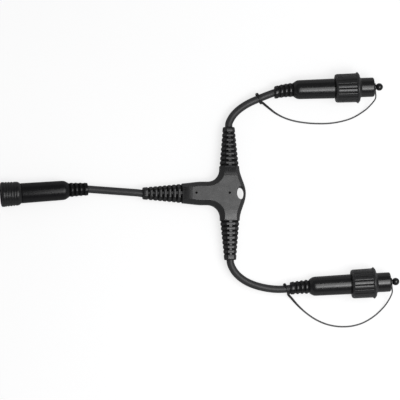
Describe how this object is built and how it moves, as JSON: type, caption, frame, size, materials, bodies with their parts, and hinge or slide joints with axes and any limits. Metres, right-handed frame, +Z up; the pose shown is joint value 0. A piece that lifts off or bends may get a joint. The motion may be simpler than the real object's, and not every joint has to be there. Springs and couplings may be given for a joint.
{
  "type": "waterproof t splitter cable for led lighting",
  "caption": "T-shaped splitter cable for low-voltage lights: threaded inlet plug, ribbed T moulding and outlets with coupling nuts and tethered sealing caps.",
  "frame": {"origin": "middle of the T moulding's flat underside, on the surface the cable lies on", "axes": "+X from the inlet towards the outlets, +Y across towards the upper outlet, +Z up out of the T moulding's top"},
  "size_m": [0.349, 0.2246, 0.0276],
  "materials": {
    "grip_plastic": "satin moulded PVC",
    "junction_rubber": "fine satin moulded PVC",
    "nut_plastic": "satin gloss moulded nylon",
    "cap_plastic": "satin moulded plastic",
    "carrier_plastic": "moulded plastic",
    "cable_rubber": "matt rubber sheath",
    "tether_rubber": "satin soft plastic",
    "seal_rubber": "silicone",
    "contact_brass": "turned brass",
    "core_live": "brown PVC insulation",
    "core_return": "blue PVC insulation",
    "splice_metal": "tinned crimp sleeve"
  },
  "bodies": {
    "root": {"inlet_grip": "grip_plastic", "inlet_threaded_collar": "carrier_plastic", "inlet_pin_live": "contact_brass", "inlet_pin_return": "contact_brass", "inlet_gasket": "seal_rubber", "inlet_core_live": "core_live", "inlet_core_return": "core_return", "upper_outlet_grip": "grip_plastic", "upper_contact_carrier": "carrier_plastic", "upper_contact_live": "contact_brass", "upper_contact_return": "contact_brass", "upper_outlet_core_live": "core_live", "upper_outlet_core_return": "core_return", "upper_seal_ring": "seal_rubber", "upper_cable": "cable_rubber", "upper_cap_tether": "tether_rubber", "lower_outlet_grip": "grip_plastic", "lower_contact_carrier": "carrier_plastic", "lower_contact_live": "contact_brass", "lower_contact_return": "contact_brass", "lower_outlet_core_live": "core_live", "lower_outlet_core_return": "core_return", "lower_seal_ring": "seal_rubber", "lower_cable": "cable_rubber", "lower_cap_tether": "tether_rubber", "inlet_cable": "cable_rubber", "junction_moulding": "junction_rubber", "splice_live": "splice_metal", "junction_core_inlet_live": "core_live", "junction_core_upper_live": "core_live", "junction_core_lower_live": "core_live", "splice_return": "splice_metal", "junction_core_inlet_return": "core_return", "junction_core_upper_return": "core_return", "junction_core_lower_return": "core_return"},
    "upper_nut": {"upper_coupling_nut": "nut_plastic"},
    "lower_nut": {"lower_coupling_nut": "nut_plastic"},
    "upper_cap": {"upper_sealing_cap": "cap_plastic"},
    "lower_cap": {"lower_sealing_cap": "cap_plastic"}
  },
  "joints": [
    {"name": "upper_nut_turn", "type": "hinge", "parent": "root", "child": "upper_nut", "pos_m": [0.10523, 0.09293, 0.01321], "axis": [0.9974, 0.0313, 0.0645], "range_deg": [0, 2160]},
    {"name": "upper_cap_unscrew", "type": "slide", "parent": "root", "child": "upper_cap", "axis": [0.9974, 0.0313, 0.0645], "range_m": [0, 0.0144], "deforming": ["upper_cap_tether"]},
    {"name": "lower_nut_turn", "type": "hinge", "parent": "root", "child": "lower_nut", "pos_m": [0.11708, -0.07943, 0.01321], "axis": [0.9966, 0.0505, 0.0645], "range_deg": [0, 2160]},
    {"name": "lower_cap_unscrew", "type": "slide", "parent": "root", "child": "lower_cap", "axis": [0.9966, 0.0505, 0.0645], "range_m": [0, 0.0144], "deforming": ["lower_cap_tether"]}
  ],
  "couplings": [
    {"joint": "upper_cap_unscrew", "follows": "upper_nut_turn", "m_per_rad": 0.00038197},
    {"joint": "lower_cap_unscrew", "follows": "lower_nut_turn", "m_per_rad": 0.00038197}
  ]
}
